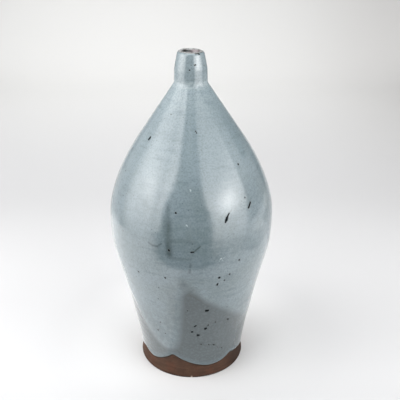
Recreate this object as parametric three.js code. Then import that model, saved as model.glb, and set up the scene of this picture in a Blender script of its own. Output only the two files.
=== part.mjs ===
// Stoneware bottle vase. Three thrown clay sections are keyed together and luted with slip,
// then glazed: a liner inside, and outside two poured coats that overlap and end in hanging runs
// above a bare foot. Millimetres, +Z up, origin on the table under the middle of the foot.
// Azimuths are in degrees round the axis, 0 at the front (-Y) and 90 at the right (+X).
import * as THREE from 'three';

// Outside of the bare clay: radii from the axis, heights from the table
const footRadius = 60.5;
const footBevel = 1.2;
const waistRadius = 58.9;
const waistHeight = 17;
const wallTopRadius = 76.8;
const wallTopHeight = 120.4;
const wallBow = 2.6;
const wallBowShare = 0.63;
const bellyRadius = 87;
const bellyHeight = 185;
const shoulderRadius = 53.3;
const shoulderHeight = 270.8;
const neckBaseRadius = 15.75;
const neckLength = 32;
const creaseLength = 5;
const neckTopRadius = 14.75;
const lipRise = 12;
const lipCrestRadius = 10.6;
const lipHeight = 359;
const neckBaseHeight = lipHeight - neckLength;

// How far each end of a belly curve runs straight on, as a share of that curve's height
const wallTopPull = 0.53;
const bellyPullBelow = 0.39;
const bellyPullAbove = 0.31;
const shoulderPull = 0.37;

// Inside of the clay
const wallThickness = 6;
const floorThickness = 9;
const floorFillet = 12;
const boreTopRadius = 8.3;
const boreTopDrop = 4;
const boreBaseRadius = 10.5;

// Turned foot ring
const recessDepth = 4;
const recessSlope = 1.5;
const footRingWidth = 11;

// Keyed joints between the sections, each bedded in a ring of slip
const bellyJointHeight = 213;
const neckJointHeight = neckBaseHeight;
const jointKeyDepth = 2;
const slipThickness = 1;
const clearance = 0.3;

// Glaze
const firstCoatThickness = 0.7;
const secondCoatThickness = 0.6;
const linerThickness = 0.6;
const coatEdgeRoll = 2;
const coatEdgeShare = 0.4;
const firstCoatBoreDepth = 9;
const secondCoatLipDrop = 3;

// Runs of glaze along a coat's lower edge. Left and right give how many degrees to each side a
// run's edge takes to climb the coat's full rise, and the power that it climbs with.
const firstCoatRise = 16;
const firstCoatRuns = [
  { azimuth: -50, tip: 17.3, left: [24, 1.3], right: [31, 1.8] },
  { azimuth: 17, tip: 16, left: [36.5, 1.6], right: [60, 1.3] },
  { azimuth: 78, tip: 14.5, left: [58, 1.3], right: [50, 1.6] },
  { azimuth: 132, tip: 18, left: [40, 1.6], right: [34, 1.8] },
  { azimuth: 186, tip: 15.5, left: [38, 1.7], right: [52, 1.4] },
  { azimuth: 236, tip: 18.5, left: [45, 1.5], right: [38, 1.7] },
  { azimuth: 282, tip: 17, left: [36, 1.6], right: [40, 1.5] },
];
const secondCoatRise = 70;
const secondCoatRuns = [
  { azimuth: -23, tip: 37, left: [31, 2.4], right: [15.5, 12] },
  { azimuth: 80, tip: 54, left: [93, 1.1], right: [55, 1.6] },
  { azimuth: 152, tip: 66, left: [60, 1.8], right: [44, 2.2] },
  { azimuth: 206, tip: 46, left: [36, 3], right: [40, 2] },
  { azimuth: 268, tip: 74, left: [62, 1.5], right: [66, 1.5] },
];

// Facets round the axis, and steps along each stretch of the outline
const facets = 40;
const flareSteps = 2;
const wallSteps = 4;
const bellySteps = 3;
const shoulderSteps = 5;
const creaseSteps = 2;
const lipSteps = 3;
const filletSteps = 3;
const runRings = 4;

const at = (radius, height) => new THREE.Vector2(radius, height);
const fullTurn = 2 * Math.PI;
const quarterTurn = Math.PI / 2;

// Points of a chain of curves that follow on from each other
function sampled(curves) {
  const points = [curves[0].curve.getPoint(0)];
  for (const { curve, steps } of curves) points.push(...curve.getPoints(steps).slice(1));
  return points;
}

// Unit vectors that point away from the clay, for a line that runs up the outside, over the lip
// and down the inside
function skinNormals(points) {
  return points.map((point, index) => {
    const before = points[Math.max(index - 1, 0)];
    const after = points[Math.min(index + 1, points.length - 1)];
    const along = after.clone().sub(before).normalize();
    return at(along.y, -along.x);
  });
}

// Outside of the clay, from the resting edge to the crest of the lip
const waist = at(waistRadius, waistHeight);
const wallTop = at(wallTopRadius, wallTopHeight);
const belly = at(bellyRadius, bellyHeight);
const shoulder = at(shoulderRadius, shoulderHeight);
const crease = at(neckBaseRadius, neckBaseHeight);
const neckTop = at(neckTopRadius, lipHeight - lipRise);
const footEdge = at(footRadius, footBevel);
const footUnder = at(footRadius - footBevel, 0);
const flareControl = at(waistRadius, waistHeight / 2);
const wallControl = waist.clone().lerp(wallTop, wallBowShare).sub(at(wallBow, 0));
const wallDirection = wallTop.clone().sub(wallControl).normalize();
const coneDirection = crease.clone().sub(shoulder).normalize();
const neckDirection = neckTop.clone().sub(crease).normalize();
const creaseStart = crease.clone().addScaledVector(coneDirection, -creaseLength);
const creaseEnd = crease.clone().addScaledVector(neckDirection, creaseLength);
const lowerBellyHeight = bellyHeight - wallTopHeight;
const upperBellyHeight = shoulderHeight - bellyHeight;

const outside = sampled([
  { curve: new THREE.LineCurve(footUnder, footEdge), steps: 1 },
  { curve: new THREE.QuadraticBezierCurve(footEdge, flareControl, waist), steps: flareSteps },
  { curve: new THREE.QuadraticBezierCurve(waist, wallControl, wallTop), steps: wallSteps },
  {
    curve: new THREE.CubicBezierCurve(
      wallTop,
      wallTop.clone().addScaledVector(wallDirection, wallTopPull * lowerBellyHeight),
      belly.clone().sub(at(0, bellyPullBelow * lowerBellyHeight)),
      belly,
    ),
    steps: bellySteps,
  },
  {
    curve: new THREE.CubicBezierCurve(
      belly,
      belly.clone().add(at(0, bellyPullAbove * upperBellyHeight)),
      shoulder.clone().addScaledVector(coneDirection, -shoulderPull * upperBellyHeight),
      shoulder,
    ),
    steps: shoulderSteps,
  },
  { curve: new THREE.LineCurve(shoulder, creaseStart), steps: 1 },
  { curve: new THREE.QuadraticBezierCurve(creaseStart, crease, creaseEnd), steps: creaseSteps },
  { curve: new THREE.LineCurve(creaseEnd, neckTop), steps: 1 },
  {
    curve: new THREE.EllipseCurve(
      lipCrestRadius, neckTop.y, neckTopRadius - lipCrestRadius, lipRise, 0, quarterTurn,
    ),
    steps: lipSteps,
  },
]);
const wallTopCorner = 1 + flareSteps + wallSteps;
const shoulderCorner = wallTopCorner + bellySteps + shoulderSteps;
const lipCorner = outside.length - 1;

// Inside of the clay, from the crest of the lip down the bore and the wall to the floor's middle
const floorTop = recessDepth + floorThickness;
const boreTop = at(boreTopRadius, lipHeight - boreTopDrop);
const outsideNormals = skinNormals(outside);
const wallInside = outside
  .map((point, index) => point.clone().addScaledVector(outsideNormals[index], -wallThickness))
  .slice(0, shoulderCorner + 1)
  .filter((point) => point.y > floorTop + floorFillet)
  .reverse();
const boreBaseRun = (wallInside[0].x - boreBaseRadius) / -coneDirection.x;
const boreBase = wallInside[0].clone().addScaledVector(coneDirection, boreBaseRun);
const wallFoot = wallInside[wallInside.length - 1];
const floorEdge = at(wallFoot.x - floorFillet, floorTop);
const lipInside = new THREE.EllipseCurve(
  lipCrestRadius, boreTop.y, lipCrestRadius - boreTopRadius, boreTopDrop, quarterTurn, Math.PI,
);
const floorCurve = new THREE.QuadraticBezierCurve(wallFoot, at(wallFoot.x, floorTop), floorEdge);
const inside = [
  ...lipInside.getPoints(lipSteps).slice(1),
  boreBase,
  ...wallInside,
  ...floorCurve.getPoints(filletSteps).slice(1),
  at(0, floorTop),
];

// The whole skin of the clay as one line. A place on it is a corner's number, with fractions
// between corners.
const skin = [...outside, ...inside];
const normals = skinNormals(skin);
const floorCorner = skin.length - 1;

function lifted(place, lift) {
  const corner = Math.min(Math.floor(place), floorCorner - 1);
  const share = place - corner;
  const start = skin[corner].clone().addScaledVector(normals[corner], lift);
  const end = skin[corner + 1].clone().addScaledVector(normals[corner + 1], lift);
  return start.lerp(end, share);
}

function placeAtHeight(height, firstCorner, lastCorner) {
  for (let corner = firstCorner; corner < lastCorner; corner += 1) {
    const start = skin[corner].y;
    const end = skin[corner + 1].y;
    if ((height - start) * (height - end) <= 0 && start !== end) {
      return corner + (height - start) / (end - start);
    }
  }
  throw new Error(`the skin has no place at height ${height}`);
}

const outsidePlace = (height) => placeAtHeight(height, 0, lipCorner);
const insidePlace = (height) => placeAtHeight(height, lipCorner, floorCorner);

// Both ends of a stretch of skin and every corner between them
function stretch(from, to, lift) {
  const points = [lifted(from, lift)];
  for (let corner = Math.floor(from) + 1; corner < to; corner += 1) points.push(lifted(corner, lift));
  points.push(lifted(to, lift));
  return points;
}

// A joint's keyed face from the outside of the wall to its inside
function jointFace(height) {
  const outer = lifted(outsidePlace(height), 0);
  const inner = lifted(insidePlace(height), 0);
  return [outer, at((outer.x + inner.x) / 2, height - jointKeyDepth), inner];
}

function spun(profile) {
  return new THREE.LatheGeometry(profile, facets).rotateX(quarterTurn);
}

const closed = (loop) => [...loop, loop[0]];
const halfJoint = slipThickness / 2 + clearance;

// Thrown clay
function lowerBodyGeometry() {
  const rim = bellyJointHeight - halfJoint;
  const ringInside = footUnder.x - footRingWidth;
  return spun([
    at(0, recessDepth),
    at(ringInside - recessSlope, recessDepth),
    at(ringInside, 0),
    ...stretch(0, outsidePlace(rim), 0).slice(0, -1),
    ...jointFace(rim),
    ...stretch(insidePlace(rim), floorCorner, 0).slice(1),
  ]);
}

function upperBodyGeometry() {
  const foot = bellyJointHeight + halfJoint;
  const rim = neckJointHeight - halfJoint;
  return spun(closed([
    ...jointFace(foot).reverse().slice(0, -1),
    ...stretch(outsidePlace(foot), outsidePlace(rim), 0).slice(0, -1),
    ...jointFace(rim),
    ...stretch(insidePlace(rim), insidePlace(foot), 0).slice(1, -1),
  ]));
}

function neckGeometry() {
  const foot = neckJointHeight + halfJoint;
  return spun(closed([
    ...jointFace(foot).reverse().slice(0, -1),
    ...stretch(outsidePlace(foot), insidePlace(foot), 0).slice(0, -1),
  ]));
}

// Slip squeezed flat between two keyed faces
function slipGeometry(height) {
  const below = jointFace(height - slipThickness / 2).reverse();
  const above = jointFace(height + slipThickness / 2);
  return spun(closed([...below, ...above]));
}

// Height of a coat's lower edge: the lowest of the runs that reach round to this azimuth
function edgeHeight(runs, rise, azimuth) {
  const heights = runs.map((run) => {
    const turn = THREE.MathUtils.euclideanModulo(azimuth - run.azimuth + 180, 360) - 180;
    const [spread, power] = turn < 0 ? run.left : run.right;
    return run.tip + rise * (Math.abs(turn) / spread) ** power;
  });
  return Math.min(...heights);
}

// A coat's section at one azimuth, from its rolled lower edge up to its last place on the skin.
// Below the top of the wall its rings follow the edge, and above it they follow the clay.
function coatSection(edge, lastPlace, near, far) {
  const edgePlace = outsidePlace(edge);
  const rollPlace = outsidePlace(edge + coatEdgeRoll);
  const rings = [rollPlace];
  for (let ring = 1; ring < runRings; ring += 1) {
    rings.push(THREE.MathUtils.lerp(rollPlace, wallTopCorner, ring / runRings));
  }
  const belowTop = (lift) => rings.map((place) => lifted(place, lift));
  const aboveTop = (lift) => stretch(wallTopCorner, lastPlace, lift);
  return closed([
    lifted(edgePlace, near),
    lifted(edgePlace, THREE.MathUtils.lerp(near, far, coatEdgeShare)),
    ...belowTop(far),
    ...aboveTop(far),
    ...aboveTop(near).reverse(),
    ...belowTop(near).reverse(),
  ]);
}

// Spins a coat, giving each azimuth the section that its own edge height calls for
function coatGeometry(runs, rise, lastPlace, near, far) {
  const sectionAt = (azimuth) => coatSection(edgeHeight(runs, rise, azimuth), lastPlace, near, far);
  const front = sectionAt(0);
  const geometry = new THREE.LatheGeometry(front, facets);
  const corners = geometry.attributes.position;
  for (let column = 0; column <= facets; column += 1) {
    const angle = (column % facets) / facets * fullTurn;
    sectionAt(THREE.MathUtils.radToDeg(angle)).forEach((point, row) => {
      const place = column * front.length + row;
      corners.setXYZ(place, point.x * Math.sin(angle), point.y, point.x * Math.cos(angle));
    });
  }
  return geometry.rotateX(quarterTurn);
}

const firstCoatNear = clearance;
const firstCoatFar = firstCoatNear + firstCoatThickness;
const firstCoatEnd = lipHeight - firstCoatBoreDepth;
const secondCoatNear = firstCoatFar + clearance;
const secondCoatFar = secondCoatNear + secondCoatThickness;

function firstCoatGeometry() {
  return coatGeometry(firstCoatRuns, firstCoatRise, insidePlace(firstCoatEnd), firstCoatNear, firstCoatFar);
}

function secondCoatGeometry() {
  const top = outsidePlace(lipHeight - secondCoatLipDrop);
  return coatGeometry(secondCoatRuns, secondCoatRise, top, secondCoatNear, secondCoatFar);
}

// Liner glaze: starts in the bore where the first coat ends, and covers wall and floor
function linerGeometry() {
  const top = insidePlace(firstCoatEnd - clearance);
  const onClay = stretch(top, floorCorner, clearance).reverse();
  const free = stretch(top, floorCorner, clearance + linerThickness);
  return spun([...onClay, ...free]);
}

// Finishes
const clay = new THREE.MeshStandardMaterial({ color: '#5e4335', roughness: 0.85, metalness: 0 });
const slip = new THREE.MeshStandardMaterial({ color: '#6f5444', roughness: 0.9, metalness: 0 });
const darkGlaze = new THREE.MeshStandardMaterial({ color: '#6c767b', roughness: 0.25, metalness: 0 });
const paleGlaze = new THREE.MeshStandardMaterial({ color: '#93a3a9', roughness: 0.22, metalness: 0 });
const liner = new THREE.MeshStandardMaterial({ color: '#7b8488', roughness: 0.3, metalness: 0 });

const vase = new THREE.Group();

function addPiece(name, geometry, material) {
  const piece = new THREE.Mesh(geometry, material);
  piece.name = name;
  vase.add(piece);
}

addPiece('lower_body', lowerBodyGeometry(), clay);
addPiece('upper_body', upperBodyGeometry(), clay);
addPiece('neck', neckGeometry(), clay);
addPiece('belly_slip_ring', slipGeometry(bellyJointHeight), slip);
addPiece('neck_slip_ring', slipGeometry(neckJointHeight), slip);
addPiece('first_glaze_coat', firstCoatGeometry(), darkGlaze);
addPiece('second_glaze_coat', secondCoatGeometry(), paleGlaze);
addPiece('liner_glaze', linerGeometry(), liner);

export default vase;
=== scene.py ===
# Stoneware bottle vase: three thrown clay sections luted with slip, a liner glaze inside, and two
# poured glaze coats outside that overlap and end in hanging runs above a bare foot.
# Metres, +Z up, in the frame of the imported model. Azimuths are degrees round the axis, 0 at the
# front (-Y) and 90 at the right (+X).
import bisect
import math

import bmesh
import bpy
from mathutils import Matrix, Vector, kdtree, noise
from mathutils.geometry import interpolate_bezier


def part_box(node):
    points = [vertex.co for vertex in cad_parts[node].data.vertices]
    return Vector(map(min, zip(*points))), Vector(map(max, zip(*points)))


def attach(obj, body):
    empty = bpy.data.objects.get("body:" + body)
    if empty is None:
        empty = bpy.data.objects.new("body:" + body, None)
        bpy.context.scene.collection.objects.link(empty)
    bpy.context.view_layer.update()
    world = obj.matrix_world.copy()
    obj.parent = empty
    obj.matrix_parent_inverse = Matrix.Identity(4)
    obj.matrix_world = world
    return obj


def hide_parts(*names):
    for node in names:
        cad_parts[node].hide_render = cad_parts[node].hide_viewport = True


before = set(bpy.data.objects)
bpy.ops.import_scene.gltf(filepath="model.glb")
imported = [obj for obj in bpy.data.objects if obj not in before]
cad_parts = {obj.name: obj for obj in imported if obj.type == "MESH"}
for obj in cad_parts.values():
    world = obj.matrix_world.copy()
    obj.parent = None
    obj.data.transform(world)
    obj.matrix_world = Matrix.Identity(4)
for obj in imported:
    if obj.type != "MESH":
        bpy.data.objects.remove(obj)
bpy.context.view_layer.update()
MM = 0.001

# Outside of the bare clay: radii from the axis, heights from the table
FOOT_RADIUS = 0.0605
FOOT_BEVEL = 0.0012
WAIST_RADIUS = 0.0589
WAIST_HEIGHT = 0.017
WALL_TOP_RADIUS = 0.0779
WALL_TOP_HEIGHT = 0.1204
WALL_BOW = 0.0026
WALL_BOW_SHARE = 0.63
BELLY_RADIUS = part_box("lower_body")[1].x
BELLY_HEIGHT = 0.185
SHOULDER_RADIUS = 0.0533
SHOULDER_HEIGHT = 0.2708
NECK_BASE_RADIUS = 0.0152
NECK_LENGTH = 0.032
CREASE_LENGTH = 0.0022
NECK_TOP_RADIUS = 0.0149
LIP_RISE = 0.018
LIP_TAPER = 0.0026
LIP_FLAT = 0.0002
LIP_CREST_RADIUS = 0.0117
LIP_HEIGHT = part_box("neck")[1].z

# How far each end of a belly curve runs straight on, as a share of that curve's height
WALL_TOP_PULL = 0.53
BELLY_PULL_BELOW = 0.46
BELLY_PULL_ABOVE = 0.31
SHOULDER_PULL = 0.37

# How finely each part of the outline is cut
FOOT_EDGE_STEPS = 5
WAIST_STEPS = 24
WALL_STEPS = 60
BELLY_POINTS = 40
SHOULDER_POINTS = 60
CONE_STEPS = 24
CREASE_STEPS = 12
NECK_STEPS = 8
LIP_STEPS = 24
BORE_LIP_STEPS = 12
BORE_STEPS = 16
FLOOR_STEPS = 10

# Inside of the clay, and the turned foot ring
WALL_THICKNESS = 0.006
FLOOR_THICKNESS = 0.009
FLOOR_FILLET = 0.012
BORE_TOP_RADIUS = 0.0083
BORE_TOP_DROP = 0.004
BORE_BASE_RADIUS = 0.0105
RECESS_DEPTH = 0.004
RECESS_SLOPE = 0.0015
FOOT_RING_WIDTH = 0.011

# Keyed joints, each bedded in a ring of slip
SLIP_THICKNESS = 0.001
CLEARANCE = 0.0003
KEY_DEPTH = 0.002
BELLY_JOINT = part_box("belly_slip_ring")[1].z - SLIP_THICKNESS / 2
NECK_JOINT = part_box("neck_slip_ring")[1].z - SLIP_THICKNESS / 2

# Glaze of the first and the second coat and the liner, measured out from the clay
FIRST_LIFT = 0.001
FIRST_BUILD = 0.0004
SECOND_THICKNESS = 0.0007
LINER_LIFT = 0.0009
FIRST_BORE_DEPTH = 0.009
SECOND_LIP_DROP = 0.0002
SECOND_TOP_FADE = 0.0014

# Runs of glaze along a coat's lower edge: the azimuth and height of the tip, and for the left and the
# right how many degrees the edge takes to climb the coat's full rise, the power that it climbs with and,
# on one side, how much it climbs beside that.
FIRST_RISE = 0.016
FIRST_RUNS = [
    (-50, 0.0154, (26.5, 1.5), (29.5, 1.9)),
    (19, 0.0147, (38.5, 1.6), (33, 3.4)),
    (53, 0.0193, (16, 1.6), (30, 1.5)),
    (78, 0.0145, (58, 1.3), (50, 1.6)),
    (132, 0.018, (40, 1.6), (34, 1.8)),
    (186, 0.0155, (38, 1.7), (52, 1.4)),
    (236, 0.0185, (45, 1.5), (38, 1.7)),
    (282, 0.017, (36, 1.6), (40, 1.5)),
]
SECOND_RISE = 0.07
SECOND_RUNS = [
    (-24, 0.0325, (49, 1.75), (20.6, 10, 0.02)),
    (80, 0.0515, (82, 1.35), (55, 1.6)),
    (152, 0.066, (60, 1.8), (44, 2.2)),
    (206, 0.046, (36, 3), (40, 2)),
    (268, 0.074, (62, 1.5), (66, 1.5)),
]

# Marks in the glaze. A pit has its azimuth, height and radius, in degrees and millimetres. The others
# run from azimuth and height to azimuth and height, with a radius, and a stain also has its strength.
SECOND_CRAWLS = [
    ((22.9, 206.6), (24, 210), 1.4),
    ((23.6, 208.4), (24.4, 210.8), 1.8),
    ((24.6, 211.5), (26.2, 214), 1),
    ((43.2, 213.8), (46, 218), 1.4),
    ((-0.2, 178.9), (1.2, 179.2), 1.2),
    ((-54.9, 275.4), (-54.2, 277), 1.7),
    ((18.5, 137.9), (18.2, 135.9), 1.2),
    ((14, 347.6), (17, 348), 0.8),
    ((35, 358.3), (38, 358.2), 1.2),
    ((20, 358.5), (34, 358.5), 0.55),
    ((88, 358), (93, 357.9), 0.9),
    ((5.7, 288), (7.2, 286), 0.6),
    ((118, 232), (121, 236), 1.3),
    ((-131, 187), (-127, 189), 1.2),
]
SECOND_PITS = [
    (41.9, 224.2, 1.1), (45.9, 254.2, 1.5), (-10.6, 217.6, 1.5), (-14.6, 180, 1.8),
    (-40.2, 143.7, 1.5), (-18.1, 146.2, 1.5), (19.1, 145.8, 1.7), (23.3, 140.6, 1.4),
    (26.8, 147.3, 1.5), (33.3, 162.1, 1.3), (-4, 342.8, 1), (54.8, 346.2, 0.8),
    (-33.2, 64, 1.5), (-29, 78, 1.3), (-25.5, 62.5, 1.3), (151, 204, 1.1),
    (176, 262, 1.1), (-98, 226, 1.1), (-158, 240, 1), (-112, 154, 1.1),
    (163, 138, 1.1), (104, 171, 1),
]
# Small raised blisters in the second coat, painted white as glints
SECOND_GLINT_FLECKS = [
    ((19, 168.5), (19.6, 169.2), 0.6),
    ((20.6, 167), (20.6, 167), 0.5),
    ((18.2, 166.4), (18.2, 166.4), 0.4),
    ((21.4, 169.4), (21.4, 169.4), 0.4),
    ((-3.4, 207), (-2.6, 206), 0.5),
    ((-1, 239), (-0.4, 238), 0.4),
]
SECOND_STAINS = [
    ((-16.2, 222), (-15.5, 208), 3.5, 0.35),
    ((-15.5, 208), (-14.9, 190), 6.5, 0.45),
    ((-14.9, 190), (-14.5, 176), 6.5, 0.55),
    ((-28.8, 184.5), (-25.8, 182.4), 1.6, 0.5),
    ((-25.8, 182.4), (-22.5, 182.4), 1.8, 0.6),
    ((-22.5, 182.4), (-19.6, 186), 1.6, 0.5),
    ((-12.5, 190.5), (2.5, 190.5), 3.6, 0.22),
    ((-15, 172.5), (-10.5, 171), 3.4, 0.35),
    ((-10.5, 171), (-0.8, 170.8), 2.8, 0.28),
    ((-0.7, 166), (-0.9, 162.5), 2, 0.38),
    ((-1.2, 158.5), (-1.4, 155.5), 2.3, 0.42),
    ((-9.2, 138.6), (-3.2, 140.4), 1.6, 0.5),
    ((-13.5, 132), (-16, 92), 13, 0.2),
    ((-6.5, 141), (-1.5, 128), 11, 0.4),
    ((-1.5, 128), (2, 116), 14, 0.5),
    ((26.2, 214), (28.6, 217), 1.3, 0.35),
    ((1.2, 179), (5.6, 185.3), 1.3, 0.6),
]
FIRST_CRAWLS = [
    ((11.8, 99.8), (13.3, 99.6), 2.1),
    ((12.2, 72.8), (12.8, 73.1), 2.1),
    ((5.6, 63.8), (6.1, 63.9), 2),
    ((2.4, 77), (3.6, 78.5), 1.3),
]
FIRST_PITS = [
    (0.2, 69.3, 1.9), (14.6, 77.5, 1.4), (-3.6, 100.8, 1.3), (21.2, 80, 1.4),
    (34.2, 78.5, 1.8), (9, 49.2, 1.4), (16.9, 47, 1.3), (22.3, 45.1, 1.5),
    (27.3, 39.3, 1.3), (32.3, 36.2, 1.3), (112, 44, 1.1), (-150, 52, 1.2),
    (176, 39, 0.9), (-92, 47, 1),
]


def at(radius, height):
    return Vector((radius, height))


# Curves of the outline
def straight(start, end, steps):
    return [start.lerp(end, step / steps) for step in range(steps + 1)]


def bent(start, control, end, steps):
    first_pull = start.lerp(control, 2 / 3)
    last_pull = end.lerp(control, 2 / 3)
    return interpolate_bezier(start, first_pull, last_pull, end, steps + 1)


def quarter_round(centre, radius, rise, first_degrees, steps):
    angles = [math.radians(first_degrees + 90 * step / steps) for step in range(steps + 1)]
    return [centre + at(radius * math.cos(angle), rise * math.sin(angle)) for angle in angles]


def chained(*stretches):
    line = list(stretches[0])
    for stretch in stretches[1:]:
        line.extend(stretch[1:])
    return line


def away_from_clay(line):
    """Unit vectors away from the clay, for a line up the outside, over the lip and down the inside."""
    arrows = []
    for index in range(len(line)):
        before = line[max(index - 1, 0)]
        after = line[min(index + 1, len(line) - 1)]
        along = (after - before).normalized()
        arrows.append(at(along.y, -along.x))
    return arrows


def clay_outside():
    foot_under = at(FOOT_RADIUS - FOOT_BEVEL, 0)
    foot_edge = at(FOOT_RADIUS, FOOT_BEVEL)
    waist = at(WAIST_RADIUS, WAIST_HEIGHT)
    wall_top = at(WALL_TOP_RADIUS, WALL_TOP_HEIGHT)
    belly = at(BELLY_RADIUS, BELLY_HEIGHT)
    shoulder = at(SHOULDER_RADIUS, SHOULDER_HEIGHT)
    crease = at(NECK_BASE_RADIUS, LIP_HEIGHT - NECK_LENGTH)
    neck_top = at(NECK_TOP_RADIUS, LIP_HEIGHT - LIP_RISE)
    lip_control = at(NECK_TOP_RADIUS - LIP_TAPER, LIP_HEIGHT - LIP_FLAT)
    lip_crest = at(LIP_CREST_RADIUS, LIP_HEIGHT)
    wall_control = waist.lerp(wall_top, WALL_BOW_SHARE) - at(WALL_BOW, 0)
    wall_end = (wall_top - wall_control).normalized()
    cone = (crease - shoulder).normalized()
    crease_start = crease - cone * CREASE_LENGTH
    crease_end = crease + (neck_top - crease).normalized() * CREASE_LENGTH
    lower = BELLY_HEIGHT - WALL_TOP_HEIGHT
    upper = SHOULDER_HEIGHT - BELLY_HEIGHT
    wall_pull = wall_top + wall_end * WALL_TOP_PULL * lower
    below_belly = belly - at(0, BELLY_PULL_BELOW * lower)
    above_belly = belly + at(0, BELLY_PULL_ABOVE * upper)
    shoulder_pull = shoulder - cone * SHOULDER_PULL * upper
    return chained(
        bent(foot_under, at(FOOT_RADIUS, 0), foot_edge, FOOT_EDGE_STEPS),
        bent(foot_edge, at(WAIST_RADIUS, WAIST_HEIGHT / 2), waist, WAIST_STEPS),
        bent(waist, wall_control, wall_top, WALL_STEPS),
        interpolate_bezier(wall_top, wall_pull, below_belly, belly, BELLY_POINTS),
        interpolate_bezier(belly, above_belly, shoulder_pull, shoulder, SHOULDER_POINTS),
        straight(shoulder, crease_start, CONE_STEPS),
        bent(crease_start, crease, crease_end, CREASE_STEPS),
        straight(crease_end, neck_top, NECK_STEPS),
        bent(neck_top, lip_control, lip_crest, LIP_STEPS),
    )


def clay_inside(outside):
    """From the crest of the lip down the bore and the wall to the middle of the floor."""
    floor_top = RECESS_DEPTH + FLOOR_THICKNESS
    arrows = away_from_clay(outside)
    wall = []
    for point, arrow in zip(outside, arrows):
        if point.y <= SHOULDER_HEIGHT:
            wall.append(point - arrow * WALL_THICKNESS)
    wall = [point for point in reversed(wall) if point.y > floor_top + FLOOR_FILLET]
    cone = (wall[0] - wall[1]).normalized()
    bore_base = wall[0] + cone * ((wall[0].x - BORE_BASE_RADIUS) / -cone.x)
    bore_top = at(LIP_CREST_RADIUS, LIP_HEIGHT - BORE_TOP_DROP)
    lip_width = LIP_CREST_RADIUS - BORE_TOP_RADIUS
    lip = quarter_round(bore_top, lip_width, BORE_TOP_DROP, 90, BORE_LIP_STEPS)
    bore = straight(lip[-1], bore_base, BORE_STEPS)
    floor_corner = at(wall[-1].x, floor_top)
    floor_edge = at(wall[-1].x - FLOOR_FILLET, floor_top)
    floor = bent(wall[-1], floor_corner, floor_edge, FLOOR_STEPS)
    return chained(lip, bore, [bore_base, *wall], floor, [floor_edge, at(0, floor_top)])


# The whole skin of the clay as one line. A place on it is the length along it from the foot.
OUTSIDE = clay_outside()
SKIN = chained(OUTSIDE, clay_inside(OUTSIDE))
ARROWS = away_from_clay(SKIN)
PLACES = [0.0]
for start, end in zip(SKIN, SKIN[1:]):
    PLACES.append(PLACES[-1] + (end - start).length)
OUTSIDE_HEIGHTS = [point.y for point in OUTSIDE]
LIP_CORNER = len(OUTSIDE) - 1
FLOOR_MIDDLE = PLACES[-1]


def skin_at(place, lift=0.0):
    """Radius and height of a place on the skin, lifted away from the clay."""
    corner = min(max(bisect.bisect_right(PLACES, place) - 1, 0), len(SKIN) - 2)
    share = (place - PLACES[corner]) / (PLACES[corner + 1] - PLACES[corner])
    point = SKIN[corner].lerp(SKIN[corner + 1], share)
    arrow = ARROWS[corner].lerp(ARROWS[corner + 1], share)
    return point + arrow * lift


def outside_place(height):
    corner = min(max(bisect.bisect_right(OUTSIDE_HEIGHTS, height) - 1, 0), LIP_CORNER - 1)
    below, above = OUTSIDE_HEIGHTS[corner:corner + 2]
    share = (height - below) / (above - below)
    return PLACES[corner] + share * (PLACES[corner + 1] - PLACES[corner])


def inside_place(height):
    for corner in range(LIP_CORNER, len(SKIN) - 1):
        above = SKIN[corner].y
        below = SKIN[corner + 1].y
        if above >= height > below:
            share = (above - height) / (above - below)
            return PLACES[corner] + share * (PLACES[corner + 1] - PLACES[corner])


def even_places(first, last, spacing):
    steps = max(round((last - first) / spacing), 1)
    return [first + (last - first) * step / steps for step in range(steps + 1)]


def eased(value, low, high):
    share = min(max((value - low) / (high - low), 0), 1)
    return share * share * (3 - 2 * share)


# The rim of the lip sags a little to the right and is not quite even
LIP_SAG = 0.0006
LIP_SAG_AZIMUTH = 75
LIP_RIPPLE = 0.0003
LIP_RIPPLE_TURN = 2.1
LIP_RIPPLE_SEED = 4


def lip_drop(azimuth, height):
    if height < LIP_HEIGHT - LIP_RISE:
        return 0.0
    turn = math.radians(azimuth - LIP_SAG_AZIMUTH)
    spot = LIP_RIPPLE_TURN * Vector((math.cos(turn), math.sin(turn), 0))
    ripple = noise.noise(spot + Vector((0, 0, LIP_RIPPLE_SEED)))
    drop = LIP_SAG * (1 + math.cos(turn)) / 2 + LIP_RIPPLE * (1 + ripple) / 2
    return eased(height, LIP_HEIGHT - LIP_RISE, LIP_HEIGHT) * drop


def round_the_axis(azimuth, radius, height):
    turn = math.radians(azimuth)
    dropped = height - lip_drop(azimuth, height)
    return Vector((radius * math.sin(turn), -radius * math.cos(turn), dropped))


def azimuth_of(point):
    return math.degrees(math.atan2(point.x, -point.y))


# Meshes
JOIN_DISTANCE = 1e-7


def in_scene(data):
    """An object that holds a mesh, a lamp or a camera and has its name."""
    made = bpy.data.objects.new(data.name, data)
    bpy.context.scene.collection.objects.link(made)
    return made


def placed(bm, name, *materials):
    """Turns a bmesh into an object in the scene."""
    mesh = bpy.data.meshes.new(name)
    bm.to_mesh(mesh)
    bm.free()
    for material in materials:
        mesh.materials.append(material)
    return in_scene(mesh)


def finished_piece(bm, name, node, slot, *materials):
    for face in bm.faces:
        face.smooth = True
    piece = placed(bm, name, *materials)
    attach(piece, "root")
    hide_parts(node)


def spun(profile, steps, is_ring):
    """A profile turned round the axis, closed to a ring or open where it ends on the axis."""
    bm = bmesh.new()
    verts = [bm.verts.new((point.x, 0, point.y)) for point in profile]
    edges = [bm.edges.new(pair) for pair in zip(verts, verts[1:])]
    if is_ring:
        edges.append(bm.edges.new((verts[-1], verts[0])))
    bmesh.ops.spin(
        bm,
        geom=verts + edges,
        cent=(0, 0, 0),
        axis=(0, 0, 1),
        angle=2 * math.pi,
        steps=steps,
        use_merge=True,
    )
    bmesh.ops.remove_doubles(bm, verts=bm.verts, dist=JOIN_DISTANCE)
    bmesh.ops.recalc_face_normals(bm, faces=bm.faces)
    return bm


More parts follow.
